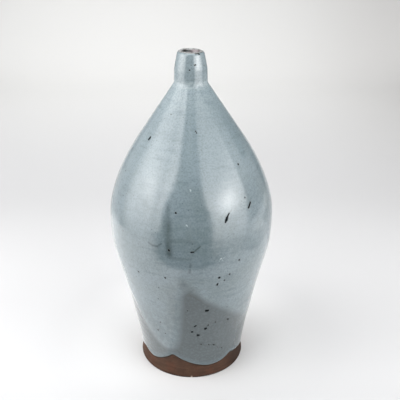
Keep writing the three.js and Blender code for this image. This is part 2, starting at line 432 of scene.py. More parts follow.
HIDDEN_STEP = 0.004
HALF_JOINT = SLIP_THICKNESS / 2 + CLEARANCE
CLAY_STEPS = 160


def stretch(first, last, lift=0.0, step=HIDDEN_STEP):
    """The skin between two places, in even steps."""
    return [skin_at(place, lift) for place in even_places(first, last, step)]


def joint_face(height):
    """A keyed rim across the wall, from the outside to the inside."""
    outer = skin_at(outside_place(height))
    inner = skin_at(inside_place(height))
    return [outer, at((outer.x + inner.x) / 2, height - KEY_DEPTH), inner]


# Fine grooves that the turning tool left on the bare foot, and a painted shadow line on the clay under
# the glaze's edge
FOOT_STEPS = 260
TURNED_HEIGHT = 0.036
TURNED_FULL_HEIGHT = 0.034
TURNED_STEP = 0.0004
GROOVE_SPACING = 0.0021
GROOVE_DEPTH = 0.00005
GROOVE_PATCH_DEGREES = 40
GROOVE_PATCH_HEIGHT = 0.004
GLAZE_SHADOW_LINE = 0.0024
GLAZE_SHADOW_CORE = 0.00048


def turned_groove(azimuth, height):
    spot = Vector((azimuth / GROOVE_PATCH_DEGREES, 0, height / GROOVE_PATCH_HEIGHT))
    patchy = 1 + noise.noise(spot)
    wave = math.sin(2 * math.pi * height / GROOVE_SPACING)
    ends = eased(height, 0, FOOT_BEVEL) * eased(height, TURNED_HEIGHT, TURNED_FULL_HEIGHT)
    return GROOVE_DEPTH * patchy * wave * ends


def lower_body(material):
    rim = BELLY_JOINT - HALF_JOINT
    ring_inside = FOOT_RADIUS - FOOT_BEVEL - FOOT_RING_WIDTH
    foot_edge = PLACES[FOOT_EDGE_STEPS]
    turned_top = outside_place(TURNED_HEIGHT)
    profile = chained(
        [at(0, RECESS_DEPTH), at(ring_inside - RECESS_SLOPE, RECESS_DEPTH), at(ring_inside, 0)],
        [at(ring_inside, 0), *OUTSIDE[:FOOT_EDGE_STEPS + 1]],
        stretch(foot_edge, turned_top, step=TURNED_STEP),
        stretch(turned_top, outside_place(rim)),
        joint_face(rim),
        stretch(inside_place(rim), FLOOR_MIDDLE),
    )
    bm = spun(profile, FOOT_STEPS, False)
    glaze_edge = edge_tree(first_coat_edge())
    # A layer for the painted shadow line under the glaze's edge
    near_glaze = bm.verts.layers.float.new("near_glaze")
    for vert in bm.verts:
        vert[near_glaze] = eased(glaze_edge.find(vert.co)[2], GLAZE_SHADOW_LINE, GLAZE_SHADOW_CORE)
        level = Vector((vert.co.x, vert.co.y, 0))
        if vert.co.z < TURNED_HEIGHT and level.length > WAIST_RADIUS - WALL_THICKNESS / 2:
            vert.co -= level.normalized() * turned_groove(azimuth_of(vert.co), vert.co.z)
    finished_piece(bm, "thrown_lower_body", "lower_body", "stoneware", material)


def upper_body(material):
    foot = BELLY_JOINT + HALF_JOINT
    rim = NECK_JOINT - HALF_JOINT
    profile = chained(
        joint_face(foot)[::-1],
        stretch(outside_place(foot), outside_place(rim)),
        joint_face(rim),
        stretch(inside_place(rim), inside_place(foot)),
    )
    bm = spun(profile[:-1], CLAY_STEPS, True)
    finished_piece(bm, "thrown_shoulder", "upper_body", "stoneware", material)


def neck(material):
    foot = NECK_JOINT + HALF_JOINT
    profile = chained(joint_face(foot)[::-1], stretch(outside_place(foot), inside_place(foot)))
    bm = spun(profile[:-1], CLAY_STEPS, True)
    for vert in bm.verts:
        vert.co.z -= lip_drop(azimuth_of(vert.co), vert.co.z)
    finished_piece(bm, "thrown_neck", "neck", "stoneware", material)


def slip_ring(name, node, height, material):
    below = joint_face(height - SLIP_THICKNESS / 2)
    above = joint_face(height + SLIP_THICKNESS / 2)
    bm = spun([*below[::-1], *above], CLAY_STEPS, True)
    finished_piece(bm, name, node, "slip", material)


def liner(material):
    top = inside_place(LIP_HEIGHT - FIRST_BORE_DEPTH - CLEARANCE)
    on_clay = stretch(top, FLOOR_MIDDLE, CLEARANCE / 3)
    free = stretch(top, FLOOR_MIDDLE, LINER_LIFT)
    bm = spun([*on_clay[::-1], *free], CLAY_STEPS, False)
    finished_piece(bm, "poured_liner", "liner_glaze", "liner", material)


# Glaze coats. A coat grows from the line of its lower edge: its first rows even out from that line to
# a level ring, and the rest follow the clay.
def edge_height(runs, rise, azimuth):
    heights = []
    for middle, tip, left, right in runs:
        turn = (azimuth - middle + 180) % 360 - 180
        spread, power, *more = left if turn < 0 else right
        share = abs(turn) / spread
        heights.append(tip + rise * share ** power + sum(more) * share ** 2)
    return min(heights)


EDGE_SAMPLES = 2400
CLIMB_WEIGHT = 0.45


def edge_line(runs, rise, columns, smoothing):
    """Evenly spread azimuths and places along a coat's lower edge, rounded where runs meet."""
    samples = []
    for index in range(EDGE_SAMPLES + 1):
        azimuth = 360 * index / EDGE_SAMPLES - 180
        samples.append((azimuth, outside_place(edge_height(runs, rise, azimuth))))
    lengths = [0.0]
    for (azimuth, place), (next_azimuth, next_place) in zip(samples, samples[1:]):
        across = math.radians(next_azimuth - azimuth) * skin_at(place).x
        lengths.append(lengths[-1] + math.hypot(across, CLIMB_WEIGHT * (next_place - place)))
    line = []
    for column in range(columns):
        length = lengths[-1] * column / columns
        index = min(bisect.bisect_right(lengths, length) - 1, EDGE_SAMPLES - 1)
        share = (length - lengths[index]) / (lengths[index + 1] - lengths[index])
        line.append(Vector(samples[index]).lerp(Vector(samples[index + 1]), share))
    full_turn = Vector((360, 0))
    for _ in range(smoothing):
        before = [line[-1] - full_turn, *line[:-1]]
        after = [*line[1:], line[0] + full_turn]
        line = [(first + 2 * here + last) / 4 for first, here, last in zip(before, line, after)]
    return line


EDGE_TREE_CUTS = 6


def edge_tree(line):
    """Finds how far a point is from a coat's lower edge."""
    ends = [*line[1:], line[0] + Vector((360, 0))]
    tree = kdtree.KDTree(len(line) * EDGE_TREE_CUTS)
    for start, end in zip(line, ends):
        for cut in range(EDGE_TREE_CUTS):
            spot = start.lerp(end, cut / EDGE_TREE_CUTS)
            tree.insert(round_the_axis(spot.x, *skin_at(spot.y)), cut)
    tree.balance()
    return tree


# Throwing rings and slow waves that both coats carry out from the clay
RING_SPACING = 0.0078
RING_DEPTH = 0.00005
RING_STEADY = 0.6
RING_PATCH_TURN = 0.7
RING_PATCH_HEIGHT = 0.03
WAVE_LENGTH = 0.045
WAVE_DEPTH = 0.00012
WAVE_SEED = 3
MEAN_RADIUS = 0.08

# How each coat rolls off at its lower edge, and builds up on the way to the belly
FIRST_ROLL = 0.0016
FIRST_BEAD = 0.0002
FIRST_BEAD_PLACE = 0.003
BUILD_START = 0.03
BUILD_FULL = 0.1
THINNEST = 0.00003
SECOND_ROLL = 0.016
SECOND_SINK = 0.00003
FAR_FROM_EDGE = 1


def hand_marks(azimuth, height):
    turn = math.radians(azimuth)
    round_place = Vector((math.sin(turn), -math.cos(turn), 0))
    patch = round_place * RING_PATCH_TURN + Vector((0, 0, height / RING_PATCH_HEIGHT))
    ring = math.sin(2 * math.pi * (height / RING_SPACING + azimuth / 360))
    slow = round_place * (MEAN_RADIUS / WAVE_LENGTH) + Vector((WAVE_SEED, 0, height / WAVE_LENGTH))
    rings = RING_DEPTH * ring * (RING_STEADY + noise.noise(patch))
    return rings + WAVE_DEPTH * noise.noise(slow)


def first_coat_lift(azimuth, place, distance):
    height = skin_at(place).y
    rolled = math.sqrt(1 - (1 - min(distance / FIRST_ROLL, 1)) ** 2)
    bead = FIRST_BEAD * math.exp(-((distance - FIRST_BEAD_PLACE) / FIRST_BEAD_PLACE) ** 2)
    climb = eased(height, BUILD_START, BUILD_FULL) * eased(LIP_HEIGHT - height, 0, LIP_RISE)
    lift = FIRST_LIFT + FIRST_BUILD * climb + hand_marks(azimuth, height)
    return max(lift * rolled + bead, THINNEST)


def second_coat_lift(azimuth, place, distance):
    first = first_coat_lift(azimuth, place, FAR_FROM_EDGE)
    top = outside_place(LIP_HEIGHT - SECOND_LIP_DROP)
    cover = eased(distance, 0, SECOND_ROLL) * eased(top - place, 0, SECOND_TOP_FADE)
    return first - SECOND_SINK + (SECOND_THICKNESS + SECOND_SINK) * cover


def second_coat_inside(azimuth, place, distance):
    return first_coat_lift(azimuth, place, FAR_FROM_EDGE) - 2 * SECOND_SINK


EDGE_LAYER_REACH = 0.02
INNER_ROW_STEP = 4


def coat_rows(line, shares, ring_places):
    """For each column of a coat, its rows as azimuth and place on the skin."""
    columns = []
    for index, edge in enumerate(line):
        azimuth = 360 * index / len(line) - 180
        ring = Vector((azimuth, ring_places[0]))
        column = [edge.lerp(ring, share) for share in shares]
        column.extend(Vector((azimuth, place)) for place in ring_places)
        columns.append(column)
    return columns


def coat(line, columns, edge_rows, outer_lift, inner_lift):
    """A closed shell of glaze. One layer runs from 0 at the lower edge to 1, the rest hold the marks."""
    rows = len(columns[0])
    outer_rows = [(row, outer_lift) for row in range(rows)]
    inner_rows = [(row, inner_lift) for row in (*range(0, rows - 1, INNER_ROW_STEP), rows - 1)]
    section = outer_rows + inner_rows[::-1]
    tree = edge_tree(line)
    bm = bmesh.new()
    bmesh.ops.create_grid(bm, x_segments=len(columns), y_segments=len(section), size=0.5)
    from_edge = bm.verts.layers.float.new("from_edge")
    for mark in ("pit", "glint_fleck", "stain"):
        bm.verts.layers.float.new(mark)
    for vert in bm.verts:
        column = columns[round((vert.co.x + 0.5) * len(columns)) % len(columns)]
        row, lift = section[round((vert.co.y + 0.5) * len(section)) % len(section)]
        azimuth, place = column[row]
        distance = EDGE_LAYER_REACH
        if row < edge_rows:
            distance = tree.find(round_the_axis(azimuth, *skin_at(place)))[2]
        vert[from_edge] = min(distance / EDGE_LAYER_REACH, 1)
        vert.co = round_the_axis(azimuth, *skin_at(place, lift(azimuth, place, distance)))
    bmesh.ops.remove_doubles(bm, verts=bm.verts, dist=JOIN_DISTANCE)
    bmesh.ops.recalc_face_normals(bm, faces=bm.faces)
    return bm


# Pits, crawls, raised blisters painted white as glints, and stains in a coat, with ragged edges
MARK_SPARE = 0.00125
MARK_CUTS = 3
MARK_RAGGED = 0.35
MARK_RAGGED_SIZE = 0.0011
MARK_DEPTH_SHARE = 0.3
MARK_DEEPEST = 0.00026
MARK_RIM = 0.4
GLINT_FLECK_HEIGHT_SHARE = -0.2
BARE_PIT = 0.45
FINE_STAIN = 0.003
STAIN_PATCHY = 0.35
STAIN_PATCH_SIZE = 0.004


def near_mark(point, start, end):
    along = end - start
    share = 0.0
    if along.length_squared > 0:
        share = min(max((point - start).dot(along) / along.length_squared, 0), 1)
    ragged = 1 + MARK_RAGGED * noise.noise(point / MARK_RAGGED_SIZE)
    return (point - start - along * share).length * ragged


def round_marks(pits):
    return [((azimuth, height), (azimuth, height), radius) for azimuth, height, radius in pits]


def mark_ends(marks, lift):
    """The ends of each mark on the surface, its radius and, for a stain, its strength."""
    spots = []
    for first, last, radius, *strength in marks:
        ends = []
        for azimuth, height in (first, last):
            place = outside_place(height * MM)
            ends.append(round_the_axis(azimuth, *skin_at(place, lift(azimuth, place, FAR_FROM_EDGE))))
        spots.append((*ends, radius * MM, *strength))
    return spots


def verts_near(bm, spots, spare):
    """Each vertex within a mark's radius and some spare, with its distance and that mark."""
    tree = kdtree.KDTree(len(bm.verts))
    bm.verts.ensure_lookup_table()
    for vert in bm.verts:
        tree.insert(vert.co, vert.index)
    tree.balance()
    found = []
    for spot in spots:
        start, end, radius = spot[:3]
        reach = (end - start).length / 2 + 2 * radius + spare
        for co, index, _ in tree.find_range((start + end) / 2, reach):
            distance = near_mark(co, start, end)
            if distance < radius + spare:
                found.append((bm.verts[index], distance, spot))
    return found


def refine(bm, spots):
    """Cuts the faces round each mark small enough to hold its shape."""
    edges = set()
    for vert, *_ in verts_near(bm, spots, MARK_SPARE):
        edges.update(vert.link_edges)
    bmesh.ops.subdivide_edges(bm, edges=list(edges), cuts=MARK_CUTS, use_grid_fill=True)
    bm.verts.index_update()
    bm.normal_update()


def press_marks(bm, spots, layer, depth_share):
    mark = bm.verts.layers.float[layer]
    for vert, distance, spot in verts_near(bm, spots, 0):
        share = distance / spot[2]
        vert[mark] = max(vert[mark], eased(1 - share, 0, MARK_RIM))
        depth = min(depth_share * spot[2], MARK_DEEPEST)
        vert.co -= vert.normal * depth * (1 - share * share) ** 2


def bare_pits(bm):
    """Faces inside a pit or a crawl get a coat's second material."""
    pit = bm.verts.layers.float["pit"]
    for face in bm.faces:
        if min(vert[pit] for vert in face.verts) > BARE_PIT:
            face.material_index = 1


def lay_stains(bm, spots):
    """Soft iron stains under the surface of a coat."""
    stain = bm.verts.layers.float["stain"]
    for vert, distance, spot in verts_near(bm, spots, 0):
        patchy = 1 + STAIN_PATCHY * noise.noise(vert.co / STAIN_PATCH_SIZE)
        strength = spot[3] * patchy * eased(1 - distance / spot[2], 0, 1)
        vert[stain] = max(vert[stain], strength)


# The grid of each coat: columns round the vase, rows up from the lower edge to a level ring, and the
# spacing of the rows above that
FIRST_COLUMNS = 340
FIRST_SMOOTHING = 2
FIRST_EDGE_ROWS = 18
FIRST_EDGE_POWER = 2
FIRST_RING_HEIGHT = 0.042
FIRST_ROW = 0.0018
COVERED_HEIGHT = 0.135
COVERED_ROW = 0.006
FIRST_NECK_ROW = 0.0008
FIRST_INNER_LIFT = 0.00002
SECOND_COLUMNS = 330
SECOND_SMOOTHING = 4
SECOND_EDGE_ROWS = 44
SECOND_EDGE_POWER = 1.5
SECOND_RING_HEIGHT = 0.135
SECOND_ROW = 0.0022
SECOND_NECK_ROW = 0.001


def first_coat_edge():
    return edge_line(FIRST_RUNS, FIRST_RISE, FIRST_COLUMNS, FIRST_SMOOTHING)


def edge_shares(rows, power):
    return [(row / rows) ** power for row in range(rows)]


def poured(line, shares, places, lift, inside, marks, glint_flecks=(), stains=()):
    """A coat with its marks, from the line of its edge, its rows and its lifts outside and inside."""
    bm = coat(line, coat_rows(line, shares, places), len(shares), lift, inside)
    pits = mark_ends(marks, lift)
    glint_flecks = mark_ends(glint_flecks, lift)
    stains = mark_ends(stains, lift)
    refine(bm, [*pits, *glint_flecks, *(stain for stain in stains if stain[2] < FINE_STAIN)])
    press_marks(bm, pits, "pit", MARK_DEPTH_SHARE)
    press_marks(bm, glint_flecks, "glint_fleck", GLINT_FLECK_HEIGHT_SHARE)
    bare_pits(bm)
    lay_stains(bm, stains)
    return bm


def first_coat(*materials):
    covered = outside_place(COVERED_HEIGHT)
    neck_base = outside_place(LIP_HEIGHT - NECK_LENGTH)
    end = inside_place(LIP_HEIGHT - FIRST_BORE_DEPTH)
    places = chained(
        even_places(outside_place(FIRST_RING_HEIGHT), covered, FIRST_ROW),
        even_places(covered, neck_base, COVERED_ROW),
        even_places(neck_base, end, FIRST_NECK_ROW),
    )
    shares = edge_shares(FIRST_EDGE_ROWS, FIRST_EDGE_POWER)
    marks = [*FIRST_CRAWLS, *round_marks(FIRST_PITS)]
    line = first_coat_edge()
    bm = poured(line, shares, places, first_coat_lift, lambda *_: FIRST_INNER_LIFT, marks)
    finished_piece(bm, "poured_first_coat", "first_glaze_coat", "first_glaze", *materials)


def second_coat(*materials):
    neck_base = outside_place(LIP_HEIGHT - NECK_LENGTH)
    top = outside_place(LIP_HEIGHT - SECOND_LIP_DROP)
    places = chained(
        even_places(outside_place(SECOND_RING_HEIGHT), neck_base, SECOND_ROW),
        even_places(neck_base, top, SECOND_NECK_ROW),
    )
    shares = edge_shares(SECOND_EDGE_ROWS, SECOND_EDGE_POWER)
    marks = [*SECOND_CRAWLS, *round_marks(SECOND_PITS)]
    soft_marks = (SECOND_GLINT_FLECKS, SECOND_STAINS)
    line = edge_line(SECOND_RUNS, SECOND_RISE, SECOND_COLUMNS, SECOND_SMOOTHING)
    bm = poured(line, shares, places, second_coat_lift, second_coat_inside, marks, *soft_marks)
    finished_piece(bm, "poured_second_coat", "second_glaze_coat", "second_glaze", *materials)


# Materials
SOFT = "SMOOTHSTEP"
CLOUD_ROUGHNESS = 0.55
DRY_ROUGHNESS = 0.85
GLAZE_IOR = 1.8
RIPPLE_MM = 0.035
RIM_START_MM = 357.9


def linear(code):
    """An sRGB hex colour as linear red, green, blue and alpha."""
    shades = [int(code[place:place + 2], 16) / 255 for place in (1, 3, 5)]
    return (*(s / 12.92 if s <= 0.04045 else ((s + 0.055) / 1.055) ** 2.4 for s in shades), 1)


def per_metre(size_mm):
    return 1000 / size_mm


def add(tree, kind, inputs, **settings):
    """Adds a node with its settings, and its inputs as values or as links from other nodes. A node that
    is given by itself links its first output."""
    made = tree.nodes.new(kind)
    for setting, value in settings.items():
        setattr(made, setting, value)
    for socket, value in inputs.items():
        if isinstance(value, bpy.types.Node):
            value = value.outputs[0]
        if isinstance(value, bpy.types.NodeSocket):
            tree.links.new(value, made.inputs[socket])
        else:
            made.inputs[socket].default_value = value
    return made


def empty_tree(owner):
    owner.use_nodes = True
    owner.node_tree.nodes.clear()
    return owner.node_tree


def new_material(name):
    material = bpy.data.materials.new(name)
    tree = empty_tree(material)
    place = add(tree, "ShaderNodeTexCoord", {}).outputs["Object"]
    return material, tree, place


def clouds(tree, place, size_mm, detail, low, high, offset, squeeze=(1, 1, 1)):
    """Soft patches of a real size: 0 where the noise is under low and 1 where it is over high."""
    spots = {0: place, 1: squeeze, 2: offset}
    moved = add(tree, "ShaderNodeVectorMath", spots, operation="MULTIPLY_ADD")
    look = {"Vector": moved, "Scale": per_metre(size_mm), "Detail": detail, "Roughness": CLOUD_ROUGHNESS}
    patches = add(tree, "ShaderNodeTexNoise", look)
    ends = {"Value": patches, "From Min": low, "From Max": high}
    return add(tree, "ShaderNodeMapRange", ends, interpolation_type=SOFT)


def specks(tree, place, spacing_mm, size_share, chance, offset):
    """Small round specks, one at most in each cell of the spacing, in a share of the cells."""
    moved = add(tree, "ShaderNodeVectorMath", {0: place, 1: offset}, operation="ADD")
    look = {"Vector": moved, "Scale": per_metre(spacing_mm)}
    cells = add(tree, "ShaderNodeTexVoronoi", look)
    ends = {"Value": cells.outputs["Distance"], "From Min": size_share, "From Max": size_share / 2}
    near = add(tree, "ShaderNodeMapRange", ends)
    lot = add(tree, "ShaderNodeSeparateColor", {0: cells.outputs["Color"]})
    chosen = add(tree, "ShaderNodeMath", {0: lot, 1: chance}, operation="LESS_THAN")
    return add(tree, "ShaderNodeMath", {0: near, 1: chosen}, operation="MULTIPLY")


def edge_band(tree, none_mm, full_mm):
    """How near a coat's lower edge a place is, from 0 to 1."""
    from_edge = add(tree, "ShaderNodeAttribute", {}, attribute_name="from_edge").outputs["Fac"]
    share = MM / EDGE_LAYER_REACH
    ends = {"Value": from_edge, "From Min": none_mm * share, "From Max": full_mm * share}
    return add(tree, "ShaderNodeMapRange", ends, interpolation_type=SOFT)


def band(tree, place, none_mm, full_mm, axis="Z"):
    """How high up the vase a place is, or how far along another axis, from 0 to 1."""
    along = add(tree, "ShaderNodeSeparateXYZ", {0: place}).outputs[axis]
    ends = {"Value": along, "From Min": none_mm * MM, "From Max": full_mm * MM}
    return add(tree, "ShaderNodeMapRange", ends, interpolation_type=SOFT)


def belt(tree, place, low_none, low_full, high_full, high_none):
    """A soft belt round the vase between two heights."""
    low = band(tree, place, low_none, low_full)
    high = band(tree, place, high_none, high_full)
    return add(tree, "ShaderNodeMath", {0: low, 1: high}, operation="MULTIPLY")


def near_spot(tree, place, spot, none_mm, full_mm, fall="LINEAR"):
    """How near a spot a place is, from 0 to 1."""
    away = add(tree, "ShaderNodeVectorMath", {0: place, 1: spot}, operation="DISTANCE").outputs["Value"]
    ends = {"Value": away, "From Min": none_mm * MM, "From Max": full_mm * MM}
    return add(tree, "ShaderNodeMapRange", ends, interpolation_type=fall)


def broken_rim(tree, place, full_mm, low, high):
    """Patches along the rim of the lip, where the glaze breaks."""
    rim = band(tree, place, RIM_START_MM, full_mm)
    breaks = clouds(tree, place, 2.5, 2, low, high, (0.3, 0, 0))
    return add(tree, "ShaderNodeMath", {0: rim, 1: breaks}, operation="MULTIPLY")


def layered(tree, base, *layers):
    """A base colour with others laid over it in turn, each as strongly as its pattern says."""
    colour = linear(base)
    for pattern, code, strength in layers:
        share = add(tree, "ShaderNodeMath", {0: pattern, 1: strength}, operation="MULTIPLY")
        shades = {0: share, 6: colour, 7: linear(code)}
        colour = add(tree, "ShaderNodeMix", shades, data_type="RGBA").outputs[2]
    return colour


def finish_material(tree, colour, height, depth_mm, **values):
    """A Principled surface of one colour pattern, with a fine relief of a real depth."""
    relief = add(tree, "ShaderNodeBump", {"Height": height, "Distance": depth_mm * MM, "Strength": 1.0})
    inputs = {"Base Color": colour, "Normal": relief}
    inputs.update({name.replace("_", " "): value for name, value in values.items()})
    surface = add(tree, "ShaderNodeBsdfPrincipled", inputs)
    add(tree, "ShaderNodeOutputMaterial", {"Surface": surface})


def finish_glaze(tree, place, colour, curds, pit, offset, glossiest, dullest):
    """A glossy glaze with slow ripples, a little duller on its curds and dry in its pits."""
    ripple = clouds(tree, place, 7, 2, 0.2, 0.8, offset)
    ends = {"Value": curds, "To Min": glossiest, "To Max": dullest}
    gloss = add(tree, "ShaderNodeMapRange", ends)
    shades = {0: pit, 2: gloss, 3: DRY_ROUGHNESS}
    roughness = add(tree, "ShaderNodeMix", shades, data_type="FLOAT")
    finish_material(tree, colour, ripple, RIPPLE_MM, Roughness=roughness, IOR=GLAZE_IOR)


SLATE = "#4a5457"
IRON_BLACK = "#0a1114"
RIM_BROWN = "#41352f"
# Middle of a painted lit patch on the back wall of the bore
LIT_BORE_PATCH_PLACE = round_the_axis(140, BORE_TOP_RADIUS, LIP_HEIGHT - BORE_TOP_DROP)
# Middle of the painted shade on the right side of the foot
FOOT_SHADE_PLACE = round_the_axis(66, FOOT_RADIUS, 0.006)
CHIP_PLACE = round_the_axis(-0.4, FOOT_RADIUS, FOOT_BEVEL)


def pale_glaze():
    """Feldspar glaze poured over the first coat: glossy, pale blue grey and faintly curdled, with fine
    streaks round the pot from the throwing rings, iron specks and stains, black pits, and raised blisters
    painted white as glints. Painted light makes it paler on the shoulder, which faces up, and a pale ring
    in the hollow under the neck is partly pooled glaze and partly painted highlight. It thins out towards
    its lower edge, where the first coat shows through, and breaks brown along the rim of the lip."""
    material, tree, place = new_material("glossy_pale_blue_grey_glaze")
    curds = clouds(tree, place, 5, 4, 0.4, 0.66, (1.7, 0, 0))
    pit = add(tree, "ShaderNodeAttribute", {}, attribute_name="pit").outputs["Fac"]
    stain = add(tree, "ShaderNodeAttribute", {}, attribute_name="stain").outputs["Fac"]
    glint_fleck = add(tree, "ShaderNodeAttribute", {}, attribute_name="glint_fleck").outputs["Fac"]
    colour = layered(
        tree,
        "#738185",
        (clouds(tree, place, 38, 3, 0.36, 0.64, (0, 0, 0)), "#7b898f", 1),
        # painted light: the shoulder, which faces up, painted paler as if lit from above
        (band(tree, place, 218, 275), "#8d9ca2", 0.6),
        (band(tree, place, 290, 320), "#a3b1b6", 0.45),
        (band(tree, place, 322, 330), "#8a989d", 0.85),
        (band(tree, place, 120, 70), SLATE, 0.34),
        (belt(tree, place, 150, 166, 186, 197), "#56666b", 0.12),
        # pale ring in the hollow under the neck: partly pooled glaze, partly a painted highlight
        (belt(tree, place, 322, 326.5, 329.5, 334), "#b7c3c7", 0.4),
        (curds, "#86959b", 0.32),
        (clouds(tree, place, 5, 3, 0.5, 0.74, (0, 0, 0.7), squeeze=(0.2, 0.2, 1)), "#5c6c73", 0.4),
        (clouds(tree, place, 1.7, 2, 0.4, 0.68, (0, 1.3, 0)), "#55656b", 0.34),
        (edge_band(tree, 11, 0.5), "#4d5659", 1),
        (specks(tree, place, 4.5, 0.14, 0.42, (0, 0.4, 0)), "#37454a", 0.6),
        (specks(tree, place, 12, 0.08, 0.4, (0, 0.9, 0)), "#1d2426", 0.8),
        (broken_rim(tree, place, 359, 0.42, 0.56), RIM_BROWN, 0.25),
        (stain, "#2f3a38", 1),
        (pit, IRON_BLACK, 1),
        # painted glints: the raised blisters painted near white
        (glint_fleck, "#c9d2d3", 0.8),
    )
    finish_glaze(tree, place, colour, curds, pit, (0, 0, 2.3), 0.13, 0.19)
    return material


def slate_glaze():
    """First glaze, darkened by the iron in the clay: glossy slate grey with fine pale curds, black
    pinholes, and a thin pale line along its lower edge, partly milky glaze gathered there and partly a
    painted highlight where the rolled edge catches the light. In the bore it is painted nearly black as
    shade, with a painted lit patch at the back, and along the crest of the lip it is pale, partly as a
    painted highlight, and breaks brown."""
    material, tree, place = new_material("glossy_slate_grey_glaze")
    curds = clouds(tree, place, 2.6, 4, 0.42, 0.68, (0, 2.1, 0))
    pit = add(tree, "ShaderNodeAttribute", {}, attribute_name="pit").outputs["Fac"]
    colour = layered(
        tree,
        "#465053",
        (clouds(tree, place, 26, 3, 0.36, 0.64, (0.6, 0, 0)), SLATE, 1),
        (curds, "#5c676a", 0.45),
        (edge_band(tree, 9, 2), "#5d6c73", 0.5),
        # thin pale line at the lower edge: partly milky glaze, partly a painted highlight on the rolled
        # edge
        (edge_band(tree, 2.4, 0.6), "#77807b", 0.35),
        (specks(tree, place, 4, 0.14, 0.35, (0, 0.9, 0)), "#2f3638", 0.6),
        # painted shade: the glaze in the bore painted nearly black
        (band(tree, place, 340, 350), "#17130f", 0.7),
        # painted light: a pale lit patch on the back wall of the bore
        (near_spot(tree, place, LIT_BORE_PATCH_PLACE, 8.5, 4), "#94888b", 0.8),
        # the crest of the lip painted pale, partly as a painted highlight on the rim
        (band(tree, place, 358.2, 359.2), "#a9acab", 0.85),
        (broken_rim(tree, place, 358.6, 0.46, 0.58), RIM_BROWN, 0.45),
        (pit, IRON_BLACK, 1),
    )
    finish_glaze(tree, place, colour, curds, pit, (0, 0, 1.1), 0.15, 0.22)
    return material


def bare_stoneware():
    """Unglazed iron-rich stoneware, turned on the wheel: dry dark brown, streaked round the foot by
    the tool, with darker grit, painted shade along the lower edge and on the right side, a painted
    shadow line under the edge of the glaze and one pale chip at the front."""
    material, tree, place = new_material("bare_brown_stoneware")
    fine = clouds(tree, place, 1.6, 3, 0.35, 0.7, (0.2, 0, 0))
    iron = add(tree, "ShaderNodeAttribute", {}, attribute_name="near_glaze").outputs["Fac"]
    colour = layered(
        tree,
        "#443025",
        (clouds(tree, place, 14, 4, 0.35, 0.65, (0, 0, 0.3)), "#523c2f", 1),
        (clouds(tree, place, 10, 3, 0.48, 0.68, (0, 0.2, 0)), "#5f3828", 0.4),
        (fine, "#594033", 0.35),
        (clouds(tree, place, 2.2, 3, 0.4, 0.66, (0, 0.5, 0), squeeze=(0.12, 0.12, 1)), "#3a281e", 0.4),
        (specks(tree, place, 3.5, 0.16, 0.45, (0.5, 0, 0)), "#2a1d17", 0.6),
        # painted shade along the lower edge of the foot
        (band(tree, place, 3, 0.4), "#2b1f18", 0.7),
        # painted shade on the right side of the foot
        (near_spot(tree, place, FOOT_SHADE_PLACE, 36, 12), "#271c16", 0.65),
        # painted shadow: a dark line on the clay just under the glaze's edge
        (iron, "#231a15", 0.75),
        (near_spot(tree, place, CHIP_PLACE, 1.4, 0.7), "#c4b4a8", 0.8),
    )
    finish_material(tree, colour, fine, 0.1, Roughness=0.85, Specular_IOR_Level=0.25)
    return material


def clouded(name, base, over, strength, patches, depth_mm, **values):
    """A plain finish of two shades, with soft patches that give the colour and the relief."""
    material, tree, place = new_material(name)
    pattern = clouds(tree, place, *patches, (0, 0, 0))
    finish_material(tree, layered(tree, base, (pattern, over, strength)), pattern, depth_mm, **values)
    return material


def burst_pit():
    """Open pit where a bubble burst or the glaze crawled off the clay: dry and black with iron."""
    patches = (0.6, 2, 0.4, 0.7)
    dry = dict(Roughness=0.9, Specular_IOR_Level=0.1)
    return clouded("dry_black_glaze_pit", IRON_BLACK, "#141c1f", 0.5, patches, 0.05, **dry)


def fired_slip():
    """Luting slip, the same clay thinned with water: matt and a little paler than the sections."""
    patches = (2, 3, 0.35, 0.65)
    return clouded("fired_luting_slip", "#6a4f40", "#775b4b", 1, patches, 0.08, Roughness=0.9)


def liner_glaze():
    """Thin liner glaze, rinsed round the inside: glossy dark grey, as the clay shows through."""
    patches = (12, 3, 0.35, 0.65)
    glossy = dict(Roughness=0.25, IOR=1.55)
    return clouded("thin_glossy_liner_glaze", "#3c4143", "#4a5052", 1, patches, 0.05, **glossy)


# Stage: a table of white paper that sweeps up behind the vase. The floor round the table is there for
# the camera alone, so the glaze mirrors the lights past the table's edges and the dark room in front.
TABLE_LEFT = -0.42
TABLE_RIGHT = 0.36
TABLE_FRONT = -0.26
TABLE_BACK = 0.2
PAPER_BEND = 1.3
PAPER_BEND_RADIUS = 0.5
PAPER_BEND_STEPS = 16
PAPER_TOP = 1.6
SWEEP_LEFT = -1.3
SWEEP_RIGHT = 0.75
FLOOR_REACH = 2.6
FLOOR_FRONT = -3.0
# Middle of the painted pool of light on the paper round the foot
FOOT_MIDDLE = (0, 0.03, 0)


def paper(name, left, right, line, material):
    """A sheet of paper from left to right, along a line of distances back and heights."""
    bm = bmesh.new()
    verts = [bm.verts.new((left, across, height)) for across, height in line]
    edges = [bm.edges.new(pair) for pair in zip(verts, verts[1:])]
    made = bmesh.ops.extrude_edge_only(bm, edges=edges)["geom"]
    moved = [item for item in made if isinstance(item, bmesh.types.BMVert)]
    bmesh.ops.translate(bm, verts=moved, vec=(right - left, 0, 0))
    for face in bm.faces:
        face.smooth = True
        if face.normal.z < 0:
            face.normal_flip()
    sheet = placed(bm, name, material)
    return sheet


